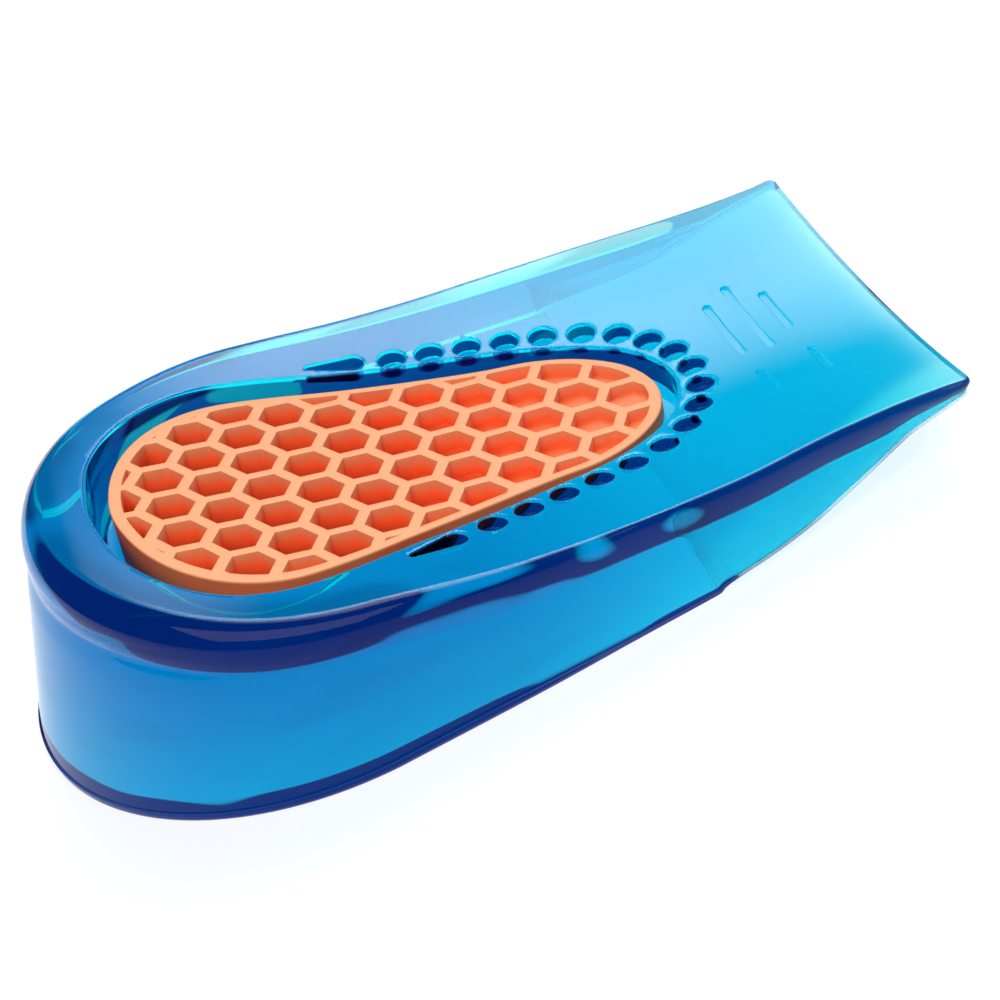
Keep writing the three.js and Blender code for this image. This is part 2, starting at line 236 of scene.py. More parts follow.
def gelSkin():
    rim = tongueOutline(gel["heelArc"], rimWidths, 0, toeX)
    base = tongueOutline(gel["baseArc"], baseWidths, gel["baseGrowth"], toeX - gel["baseToeInset"])
    foot = tongueOutline(gel["baseArc"], baseWidths, gel["baseGrowth"], toeX - gel["baseToeInset"], gel["lipStep"])
    spineRim = np.column_stack([np.clip(rim[:, 0], heelX + 0.3 * topLength, toeX - 0.06 * topLength), 0 * rim[:, 0]])
    spineBase = np.column_stack([np.clip(base[:, 0], heelX + 0.3 * topLength, toeX - 0.06 * topLength), 0 * base[:, 0]])
    rings = []
    roundR = roundAt(rim[:, 0])
    crestShare = 1 - roundR / np.linalg.norm(rim - spineRim, axis=1)
    crest = spineRim + (rim - spineRim) * crestShare[:, None]
    for share in np.sin(np.linspace(0, math.pi / 2, 44)):
        q = spineRim + (crest - spineRim) * share
        rings.append(np.column_stack([q, dishZ(q[:, 0], q[:, 1])]))
    for turn in np.linspace(0, math.pi / 2, 12)[1:]:
        q = crest + (rim - crest) * math.sin(turn)
        z = dishZ(crest[:, 0], crest[:, 1]) - roundR * (1 - math.cos(turn))
        rings.append(np.column_stack([q, z]))
    shoulder = dishZ(crest[:, 0], crest[:, 1]) - roundR
    footZ = restingZ(base[:, 0], base[:, 1])
    lip = gel["lipHeight"] * np.clip((stationX(0.69) - base[:, 0]) / 30, 0.12, 1)
    lip = lip * np.clip((shoulder - footZ) / 4, 0.2, 1)
    wallEnd = footZ + lip
    crestZ = dishZ(crest[:, 0], crest[:, 1])
    crease = np.minimum(crestZ - beadHeight(rim[:, 0], crestZ - footZ), shoulder - 0.15)
    crease = np.maximum(crease, wallEnd + 0.3 * (shoulder - wallEnd))
    back = np.minimum(gel["creaseReturn"], 0.6 * (crease - wallEnd))
    nip = gel["creaseDepth"] * np.clip((toeX - 1.5 - rim[:, 0]) / 8, 0, 1)
    out = outward(rim)

    def wallRing(z, inset):
        share = (shoulder - z) / (shoulder - wallEnd)
        q = rim + (foot - rim) * share[:, None] - out * inset[:, None]
        rings.append(np.column_stack([q, z]))

    for turn in np.linspace(0, math.pi / 2, 9)[1:]:
        wallRing(shoulder + (crease - shoulder) * (turn / (math.pi / 2)), nip * (1 - math.cos(turn)))
    for turn in np.linspace(0, math.pi / 2, 8)[1:]:
        wallRing(crease - back * (turn / (math.pi / 2)), nip * (1 - math.sin(turn)))
    for share in np.linspace(0, 1, 9)[1:]:
        wallRing(crease - back + (wallEnd - crease + back) * share, 0 * nip)
    rings.append(np.column_stack([base * 0.9 + foot * 0.1, footZ + lip * 0.98]))
    rings.append(np.column_stack([base, footZ + lip * 0.85]))
    for turn in np.linspace(0, math.pi / 2, 5):
        r = np.minimum(gel["lipRound"], lip * 0.6)
        inward = (base - spineBase) / np.linalg.norm(base - spineBase, axis=1)[:, None]
        q = base - inward * (r * (1 - math.cos(turn)))[:, None]
        rings.append(np.column_stack([q, footZ + r * (1 - math.sin(turn))]))
    edge = q
    for share in np.linspace(1, 0, 26)[1:]:
        p = spineBase + (edge - spineBase) * share
        rings.append(np.column_stack([p, restingZ(p[:, 0], p[:, 1])]))
    return skin(rings)


# Pocket and insert
pocket = {
    "insertLength": 61.9,
    "insertHalfWidth": 19.9,
    "insertStart": 0.107,
    "endMoat": 2.1,
    "sideMoat": 3.0,
    "seatSlope": 0.16,
    "seatHeight": 5.3,
    "lipRound": 0.35,
    "floorRound": 0.6,
    "border": 1.35,
    "cellFloor": 0.8,
    "edgeRound": 0.22,
}
insertTops = [(0.1, 0.919), (0.3, 0.686), (0.5, 0.487), (0.7, 0.323), (0.76, 0.28)]
insertWidths = [(0, 0), (0.01, 0.258), (0.034, 0.497), (0.072, 0.704), (0.122, 0.864), (0.179, 0.962), (0.242, 1),
                (0.34, 0.958), (0.473, 0.852), (0.603, 0.758), (0.735, 0.668), (0.826, 0.622), (0.905, 0.507),
                (0.965, 0.331), (0.991, 0.171), (1, 0)]
pocketWidths = [(0, 0), (0.008, 0.245), (0.027, 0.476), (0.067, 0.694), (0.118, 0.856), (0.18, 0.961), (0.253, 1),
                (0.336, 0.965), (0.464, 0.86), (0.585, 0.777), (0.706, 0.694), (0.805, 0.616), (0.888, 0.502),
                (0.949, 0.367), (0.985, 0.197), (1, 0)]
tilt = math.atan(pocket["seatSlope"])
seatAxis = np.array([math.sin(tilt), 0, math.cos(tilt)])
insertX = stationX(pocket["insertStart"])
pocketX = insertX - pocket["endMoat"]
pocketLength = pocket["insertLength"] + 2 * pocket["endMoat"]


# Closed smooth curve through plan points, evenly spaced.
def closedCurve(points, count):
    p = np.asarray(points, float)
    n = len(p)
    out = []
    steps = 24
    for i in range(n):
        p0, p1, p2, p3 = p[i - 1], p[i], p[(i + 1) % n], p[(i + 2) % n]
        t01 = max(np.linalg.norm(p1 - p0) ** 0.5, 1e-6)
        t12 = max(np.linalg.norm(p2 - p1) ** 0.5, 1e-6)
        t23 = max(np.linalg.norm(p3 - p2) ** 0.5, 1e-6)
        m1 = (p2 - p1) + t12 * ((p1 - p0) / t01 - (p2 - p0) / (t01 + t12))
        m2 = (p2 - p1) + t12 * ((p3 - p2) / t23 - (p3 - p1) / (t12 + t23))
        for k in range(steps):
            u = k / steps
            out.append((2 * u**3 - 3 * u**2 + 1) * p1 + (u**3 - 2 * u**2 + u) * m1
                       + (-2 * u**3 + 3 * u**2) * p2 + (u**3 - u**2) * m2)
    out = np.array(out + out[:1])
    run = np.r_[0, np.cumsum(np.linalg.norm(np.diff(out, axis=0), axis=1))]
    at = np.linspace(0, run[-1], count, endpoint=False)
    return np.column_stack([np.interp(at, run, out[:, 0]), np.interp(at, run, out[:, 1])])


def eggOutline(startX, length, halfWidth, widths, count=260):
    upper = [(startX + share * length, width * halfWidth) for share, width in widths]
    lower = [(x, -y) for x, y in upper[1:-1]]
    return closedCurve(upper[:1] + lower + upper[-1:] + upper[1:-1][::-1], count)


def insertTopZ(x):
    return gel["height"] * along(insertTops, shareOf(x))


def seatZ(x):
    return pocket["seatHeight"] + (pocketX + pocketLength - x) * pocket["seatSlope"]


# Moves points down the pocket's axis to a height above the seat.
def toSeat(points, above):
    depth = (points[:, 2] - seatZ(points[:, 0])) * math.cos(tilt) - above
    return points - depth[:, None] * seatAxis


def pocketCutter():
    line = eggOutline(pocketX, pocketLength, pocket["insertHalfWidth"] + pocket["sideMoat"], pocketWidths)
    out = outward(line)
    surface = np.column_stack([line, dishZ(line[:, 0], line[:, 1])])
    r = pocket["lipRound"]
    rings = []
    for grow, rise in [(r + 0.5, 3.0), (r + 0.5, 0.14)]:
        moved = line + out * grow
        rings.append(np.column_stack([moved, dishZ(moved[:, 0], moved[:, 1])]) + seatAxis * rise)
    for turn in np.linspace(math.pi / 2, 0, 6):
        grow = r * (1 - math.cos(turn))
        moved = line + out * grow
        z = dishZ(moved[:, 0], moved[:, 1])
        rings.append(np.column_stack([moved, z]) - seatAxis * (r * (1 - math.sin(turn))))
    wallTop = rings[-1]
    floor = toSeat(surface, pocket["floorRound"])
    for share in (0.03, 0.08, 0.16, 0.3, 0.6, 1):
        rings.append(wallTop + (floor - wallTop) * share)
    f = pocket["floorRound"]
    for turn in np.linspace(0, math.pi / 2, 6)[1:]:
        shift = -out * (f * (1 - math.cos(turn)))
        ring = floor.copy()
        ring[:, :2] += shift
        ring = toSeat(ring, f * (1 - math.sin(turn)))
        rings.append(ring)
    verts, faces = skin(rings, closeStart=True, closeEnd=True)
    return meshObject("pocketCutter", verts, faces)


# Ring of blind recesses
dots = {"radius": 1.65, "depth": 1.7, "lip": 0.28, "floor": 0.35, "reach": 27.2, "halfWidth": 19.8}
dotPlaces = [(0.473, 1), (0.516, 0.956), (0.559, 0.907), (0.602, 0.855), (0.645, 0.797), (0.687, 0.708),
             (0.723, 0.578), (0.749, 0.413), (0.766, 0.217)]
slot = {"tip": (0.379, 1.123), "end": (0.429, 1.063), "radius": 1.4, "tipRadius": 0.4}


# Levels of a recess cutter about the surface at height zero, in its own upright frame.
def recessRings(line, out, lip, floorRound, depth):
    rings = []
    for grow, rise in [(lip + 0.35, 1.6), (lip + 0.35, 0.11)]:
        rings.append(np.column_stack([line + out * grow, np.full(len(line), rise)]))
    for turn in np.linspace(math.pi / 2, 0, 6):
        moved = line + out * (lip * (1 - math.cos(turn)))
        rings.append(np.column_stack([moved, np.full(len(line), -lip * (1 - math.sin(turn)))]))
    rings.append(np.column_stack([line, np.full(len(line), -lip - 0.12)]))
    for turn in np.linspace(0, math.pi / 2, 6):
        moved = line - out * (floorRound * (1 - math.cos(turn)))
        rings.append(np.column_stack([moved, np.full(len(line), -depth + floorRound * (1 - math.sin(turn)))]))
    return rings


def dotCutter():
    turn = np.linspace(0, 2 * math.pi, 56, endpoint=False)
    line = np.column_stack([np.cos(turn), np.sin(turn)]) * dots["radius"]
    rings = recessRings(line, outward(line), dots["lip"], dots["floor"], dots["depth"])
    verts, faces = skin(rings, closeStart=True, closeEnd=True)
    return meshObject("dotCutter", verts, faces)


bars = {"halfWidth": 0.45, "depth": 0.3, "lip": 0.12}
barPlaces = [(0.83, 4.0, 12.0), (0.862, 4.5, 15.0), (0.894, 3.5, 9.0), (0.83, -9.5, 6.0), (0.895, -9.5, 6.0)]


# Shallow round-ended groove across the toe.
def barCutter(x, y, length):
    r = bars["halfWidth"]
    line = []
    for end, start in ((1, 0), (-1, math.pi)):
        for a in start + np.linspace(0, math.pi, 9):
            line.append((r * math.cos(a), end * (length / 2 - r) + r * math.sin(a)))
    line = np.array(line)
    out = outward(line)
    rings = []
    for grow, rise in ((bars["lip"], 0.8), (bars["lip"], 0.02), (0.0, -bars["lip"]), (-0.08, -bars["depth"])):
        ring = line + out * grow
        height = dishZ(x + ring[:, 0], y + ring[:, 1])
        rings.append(np.column_stack([ring + [x, y], height + rise]))
    verts, faces = skin(rings, closeStart=True, closeEnd=True)
    return meshObject("barCutter", verts, faces)


gate = {"height": 18.2, "wide": 0.8, "tall": 2.4, "deep": 0.45}


# Small moulding mark on the back of the heel.
def gateCutter():
    share = gate["height"] / gel["height"]
    back = stationX(0) - gel["heelLean"] * (1 - share)
    bm = bmesh.new()
    bmesh.ops.create_uvsphere(bm, u_segments=24, v_segments=16, radius=1)
    bmesh.ops.scale(bm, verts=bm.verts, vec=Vector((gate["deep"], gate["wide"], gate["tall"])) * mm)
    bmesh.ops.translate(bm, verts=bm.verts, vec=Vector((back, 0, gate["height"])) * mm)
    mesh = bpy.data.meshes.new("gateCutter")
    bm.to_mesh(mesh)
    bm.free()
    obj = bpy.data.objects.new("gateCutter", mesh)
    bpy.context.scene.collection.objects.link(obj)
    return obj


def slotCutter(side):
    end = np.array([stationX(slot["end"][0]), slot["end"][1] * dots["halfWidth"]])
    tip = np.array([stationX(slot["tip"][0]), slot["tip"][1] * dots["halfWidth"]])
    back = math.atan2(*(tip - end)[::-1])
    line = [end + slot["radius"] * np.array([math.cos(a), math.sin(a)])
            for a in back + math.pi / 2 + np.linspace(0, math.pi, 24)]
    right, left = line[-1], line[0]
    point = [tip + slot["tipRadius"] * np.array([math.cos(a), math.sin(a)])
             for a in back - math.pi / 2 + np.linspace(0.15, math.pi - 0.15, 9)]
    for share in np.linspace(0, 1, 14)[1:-1]:
        line.append(right + (point[0] - right) * share)
    line += point
    for share in np.linspace(1, 0, 14)[1:-1]:
        line.append(left + (point[-1] - left) * share)
    line = np.array(line)
    middle = line.mean(axis=0)
    flat = line - middle
    middle = middle * [1, side]
    flat = flat * [1, side]
    if side < 0:
        flat = flat[::-1]
    rings = recessRings(flat, outward(flat), 0.22, 0.3, dots["depth"])
    verts, faces = skin(rings, closeStart=True, closeEnd=True)
    obj = meshObject("slotCutter", verts, faces)
    obj.matrix_world = Matrix.Translation(Vector((*middle, float(dishZ(*middle)))) * mm) @ surfaceTurn(*middle)
    return obj


# Rotation that lays an upright cutter square to the dished top.
def surfaceTurn(x, y):
    gap = 0.3
    sx = float(dishZ(x + gap, y) - dishZ(x - gap, y)) / (2 * gap)
    sy = float(dishZ(x, y + gap) - dishZ(x, y - gap)) / (2 * gap)
    normal = Vector((-sx, -sy, 1)).normalized()
    return Vector((0, 0, 1)).rotation_difference(normal).to_matrix().to_4x4()


# Copies an object onto each point, turned by the point's own turn, as one real mesh.
def repeatTree(name):
    tree = bpy.data.node_groups.new(name, "GeometryNodeTree")
    tree.is_modifier = True
    face = tree.interface
    face.new_socket("Points", in_out="INPUT", socket_type="NodeSocketGeometry")
    face.new_socket("Copied", in_out="INPUT", socket_type="NodeSocketObject")
    face.new_socket("Size", in_out="INPUT", socket_type="NodeSocketFloat").default_value = 1.0
    face.new_socket("Material", in_out="INPUT", socket_type="NodeSocketMaterial")
    face.new_socket("Copies", in_out="OUTPUT", socket_type="NodeSocketGeometry")
    nodes, links = tree.nodes, tree.links
    start = nodes.new("NodeGroupInput")
    end = nodes.new("NodeGroupOutput")
    points = nodes.new("GeometryNodeMeshToPoints")
    info = nodes.new("GeometryNodeObjectInfo")
    turn = nodes.new("GeometryNodeInputNamedAttribute")
    turn.data_type = "FLOAT_VECTOR"
    turn.inputs["Name"].default_value = "turn"
    asTurn = nodes.new("FunctionNodeEulerToRotation")
    place = nodes.new("GeometryNodeInstanceOnPoints")
    real = nodes.new("GeometryNodeRealizeInstances")
    paint = nodes.new("GeometryNodeSetMaterial")
    links.new(start.outputs["Points"], points.inputs["Mesh"])
    links.new(start.outputs["Copied"], info.inputs["Object"])
    links.new(points.outputs["Points"], place.inputs["Points"])
    links.new(info.outputs["Geometry"], place.inputs["Instance"])
    links.new(turn.outputs["Attribute"], asTurn.inputs["Euler"])
    links.new(asTurn.outputs["Rotation"], place.inputs["Rotation"])
    links.new(start.outputs["Size"], place.inputs["Scale"])
    links.new(place.outputs["Instances"], real.inputs["Geometry"])
    links.new(real.outputs["Geometry"], paint.inputs["Geometry"])
    links.new(start.outputs["Material"], paint.inputs["Material"])
    links.new(paint.outputs["Geometry"], end.inputs["Copies"])
    return tree


def setInput(modifier, name, value):
    for item in modifier.node_group.interface.items_tree:
        if item.item_type == "SOCKET" and item.in_out == "INPUT" and item.name == name:
            modifier[item.identifier] = value


# A plain mesh of copies of an object at places in millimetres.
def repeated(name, copied, places, turns, tree, material, size=1.0):
    mesh = bpy.data.meshes.new(name)
    mesh.from_pydata([tuple(np.asarray(p) * mm) for p in places], [], [])
    mesh.attributes.new("turn", "FLOAT_VECTOR", "POINT").data.foreach_set("vector", np.ravel(turns).astype(float))
    obj = bpy.data.objects.new(name, mesh)
    bpy.context.scene.collection.objects.link(obj)
    modifier = obj.modifiers.new("repeat", "NODES")
    modifier.node_group = tree
    setInput(modifier, "Copied", copied)
    setInput(modifier, "Size", size)
    setInput(modifier, "Material", material)
    return plain(obj)


# Turns an object's modifiers into a plain mesh.
def plain(obj):
    depsgraph = bpy.context.evaluated_depsgraph_get()
    depsgraph.update()
    mesh = bpy.data.meshes.new_from_object(obj.evaluated_get(depsgraph))
    obj.modifiers.clear()
    obj.data = mesh
    return obj


def cut(obj, cutters):
    for cutter in cutters:
        modifier = obj.modifiers.new("cut", "BOOLEAN")
        modifier.object = cutter
        modifier.operation = "DIFFERENCE"
        modifier.solver = "EXACT"
    return plain(obj)


def drop(objects):
    for obj in objects:
        bpy.data.objects.remove(obj)


# Values of a named vector over a mesh's points, in rows of three.
def pointRows(collection, name):
    rows = np.empty(len(collection) * 3)
    collection.foreach_get(name, rows)
    return rows.reshape(-1, 3)


def addNumbers(mesh, name, values):
    mesh.attributes.new(name, "FLOAT", "POINT").data.foreach_set("value", values.astype(np.float32))


# One material over a smooth surface, sharp where faces turn by more than an angle in degrees.
def finishSurface(obj, look, sharpFrom):
    obj.data.materials.clear()
    obj.data.materials.append(look)
    for polygon in obj.data.polygons:
        polygon.use_smooth = True
        polygon.material_index = 0
    obj.data.set_sharp_from_angle(angle=math.radians(sharpFrom))


# Materials
def newMaterial(name):
    material = bpy.data.materials.new(name)
    material.use_nodes = True
    nodes = material.node_tree.nodes
    nodes.clear()
    output = nodes.new("ShaderNodeOutputMaterial")
    shader = nodes.new("ShaderNodeBsdfPrincipled")
    material.node_tree.links.new(shader.outputs["BSDF"], output.inputs["Surface"])
    return material, shader, output


# Fine moulded unevenness as a normal.
def surfaceGroup():
    tree = bpy.data.node_groups.new("mouldedSurface", "ShaderNodeTree")
    face = tree.interface
    for name, value in [("Scale", 900.0), ("Strength", 0.25), ("Distance", 0.00005), ("Detail", 2.0)]:
        face.new_socket(name, in_out="INPUT", socket_type="NodeSocketFloat").default_value = value
    face.new_socket("Normal", in_out="OUTPUT", socket_type="NodeSocketVector")
    nodes, links = tree.nodes, tree.links
    start, end = nodes.new("NodeGroupInput"), nodes.new("NodeGroupOutput")
    coords = nodes.new("ShaderNodeTexCoord")
    noise = nodes.new("ShaderNodeTexNoise")
    bump = nodes.new("ShaderNodeBump")
    links.new(coords.outputs["Object"], noise.inputs["Vector"])
    links.new(start.outputs["Scale"], noise.inputs["Scale"])
    links.new(start.outputs["Detail"], noise.inputs["Detail"])
    links.new(noise.outputs["Fac"], bump.inputs["Height"])
    links.new(start.outputs["Strength"], bump.inputs["Strength"])
    links.new(start.outputs["Distance"], bump.inputs["Distance"])
    links.new(bump.outputs["Normal"], end.inputs["Normal"])
    return tree


moulded = surfaceGroup()


def addMoulded(material, scale, strength, distance):
    node = material.node_tree.nodes.new("ShaderNodeGroup")
    node.node_tree = moulded
    node.inputs["Scale"].default_value = scale
    node.inputs["Strength"].default_value = strength
    node.inputs["Distance"].default_value = distance
    return node


# Soft streaks drawn out along the object's length, as a mask that breaks up the painted shade on the gel.
def streakGroup():
    tree = bpy.data.node_groups.new("longStreaks", "ShaderNodeTree")
    face = tree.interface
    face.new_socket("Stretch", in_out="INPUT", socket_type="NodeSocketVector").default_value = (10, 60, 60)
    for name, value in [("Low", 0.4), ("High", 0.6)]:
        face.new_socket(name, in_out="INPUT", socket_type="NodeSocketFloat").default_value = value
    face.new_socket("Mask", in_out="OUTPUT", socket_type="NodeSocketFloat")
    nodes, links = tree.nodes, tree.links
    start, end = nodes.new("NodeGroupInput"), nodes.new("NodeGroupOutput")
    coords = nodes.new("ShaderNodeTexCoord")
    scaled = nodes.new("ShaderNodeVectorMath")
    scaled.operation = "MULTIPLY"
    noise = nodes.new("ShaderNodeTexNoise")
    noise.inputs["Scale"].default_value = 1.0
    noise.inputs["Detail"].default_value = 1.0
    level = nodes.new("ShaderNodeMapRange")
    level.interpolation_type = "SMOOTHSTEP"
    level.inputs["To Min"].default_value = 1.0
    level.inputs["To Max"].default_value = 0.14
    links.new(coords.outputs["Object"], scaled.inputs[0])
    links.new(start.outputs["Stretch"], scaled.inputs[1])
    links.new(scaled.outputs["Vector"], noise.inputs["Vector"])
    links.new(noise.outputs["Fac"], level.inputs["Value"])
    links.new(start.outputs["Low"], level.inputs["From Min"])
    links.new(start.outputs["High"], level.inputs["From Max"])
    links.new(level.outputs["Result"], end.inputs["Mask"])
    return tree


longStreaks = streakGroup()


def addStreaks(material, stretch, low, high):
    node = material.node_tree.nodes.new("ShaderNodeGroup")
    node.node_tree = longStreaks
    node.inputs["Stretch"].default_value = stretch
    node.inputs["Low"].default_value = low
    node.inputs["High"].default_value = high
    return node


def gelMaterial():
    material, shader, output = newMaterial("blueGel")
    nodes, links = material.node_tree.nodes, material.node_tree.links
    # Painted shade: the base colour runs from near clear to deep navy where the shade attribute, broken up by streaks,
    # is high.
    shade = nodes.new("ShaderNodeAttribute")
    shade.attribute_name = "shade"
    matte = nodes.new("ShaderNodeAttribute")
    matte.attribute_name = "matte"
    streaks = addStreaks(material, (32, 60, 190), 0.43, 0.58)
    broken = nodes.new("ShaderNodeMath")
    broken.operation = "MULTIPLY"
    links.new(shade.outputs["Fac"], broken.inputs[0])
    links.new(streaks.outputs["Mask"], broken.inputs[1])
    full = nodes.new("ShaderNodeMapRange")
    full.interpolation_type = "SMOOTHSTEP"
    full.inputs["From Max"].default_value = 0.62
    links.new(broken.outputs["Value"], full.inputs["Value"])
    paintedLightMix = nodes.new("ShaderNodeMix")
    paintedLightMix.data_type = "RGBA"
    paintedLightMix.inputs["A"].default_value = (0.93, 0.97, 1.0, 1)
    paintedLightMix.inputs["B"].default_value = (0.006, 0.006, 0.075, 1)
    links.new(full.outputs["Result"], paintedLightMix.inputs["Factor"])
    links.new(paintedLightMix.outputs["Result"], shader.inputs["Base Color"])
    rough = nodes.new("ShaderNodeMapRange")
    rough.inputs["To Min"].default_value = 0.03
    rough.inputs["To Max"].default_value = 0.9
    links.new(matte.outputs["Fac"], rough.inputs["Value"])
    links.new(rough.outputs["Result"], shader.inputs["Roughness"])
    shader.inputs["IOR"].default_value = 1.42
    shader.inputs["Specular Tint"].default_value = (0.3, 0.25, 0.22, 1)
    shader.inputs["Transmission Weight"].default_value = 1.0
    inside = nodes.new("ShaderNodeVolumeAbsorption")
    inside.inputs["Color"].default_value = (0.0, 0.966, 0.987, 1)
    inside.inputs["Density"].default_value = 500
    links.new(inside.outputs["Volume"], output.inputs["Volume"])
    return material


def insertMaterial():
    material, shader = newMaterial("orangeFoam")[:2]
    nodes, links = material.node_tree.nodes, material.node_tree.links
    depth = nodes.new("ShaderNodeAttribute")
    depth.attribute_name = "depth"
    # Painted light and shade: the foam's own orange on top, painted redder down the cell and outer walls to stand in
    # for light scattered through the foam, and painted darker deep in the cells.
    ramp = nodes.new("ShaderNodeValToRGB")
    ramp.color_ramp.elements[0].color = (0.86, 0.34, 0.14, 1)
    ramp.color_ramp.elements[1].color = (0.55, 0.055, 0.014, 1)
    ramp.color_ramp.elements[1].position = 0.6
    ramp.color_ramp.elements.new(0.3).color = (0.95, 0.13, 0.028, 1)
    links.new(depth.outputs["Fac"], ramp.inputs["Fac"])
    links.new(ramp.outputs["Color"], shader.inputs["Base Color"])
    shader.inputs["Roughness"].default_value = 0.5
    shader.inputs["IOR"].default_value = 1.45
    shader.inputs["Specular IOR Level"].default_value = 0.3
    grain = addMoulded(material, 900, 0.25, 0.00005)
    links.new(grain.outputs["Normal"], shader.inputs["Normal"])
    return material


gelLook = gelMaterial()
insertLook = insertMaterial()
print("materials made")

repeatCopies = repeatTree("repeatOnPoints")


def ringPlaces():
    places = []
    for share, across in dotPlaces:
        for side in (1, -1):
            places.append((stationX(share), side * across * dots["halfWidth"]))
    places.append((stationX(0.5) + dots["reach"], 0.0))
    return [(x, y, float(dishZ(x, y))) for x, y in places]


def smooth(low, high, value):
    t = np.clip((value - low) / (high - low), 0, 1)
    return t * t * (3 - 2 * t)


# Index of the nearest line point, and its distance, for each point.
def nearest(points, line):
    index = np.empty(len(points), int)
    gap = np.empty(len(points))
    for start in range(0, len(points), 4000):
        part = points[start:start + 4000]
        away = np.linalg.norm(part[:, None] - line[None], axis=2)
        index[start:start + 4000] = away.argmin(axis=1)
        gap[start:start + 4000] = away.min(axis=1)
    return index, gap


# Painted shade: how dark each part of the gel's edges and hollows is painted, where about 0.6 and more is full.
edgeShade = {
    "rimHeel": 2.4,
    "rimMiddle": 1.1,
    "rimTip": 9,
    "rimBack": 0.1,
    "rimFar": 0.3,
    "wall": 0.13,
    "top": 0.36,
    "lip": 5,
    "lipToe": 0.4,
    "dots": 5,
    "farDots": 4,
    "pocket": 3.6,
    "caught": 0.96,
}
# Painted light caught in the near rim, where the painted shade is lifted: [x, share down the bead, half length, half
# share].
caughtLights = [(-18.5, 1.0, 6, 0.14), (-11.5, 0.88, 6, 0.32), (-4.5, 0.8, 6, 0.32), (3, 0.86, 4, 0.18),
                (-2.5, 0.08, 6, 0.14), (9, 0.22, 2.4, 0.36), (19, 0.4, 2.8, 0.36)]


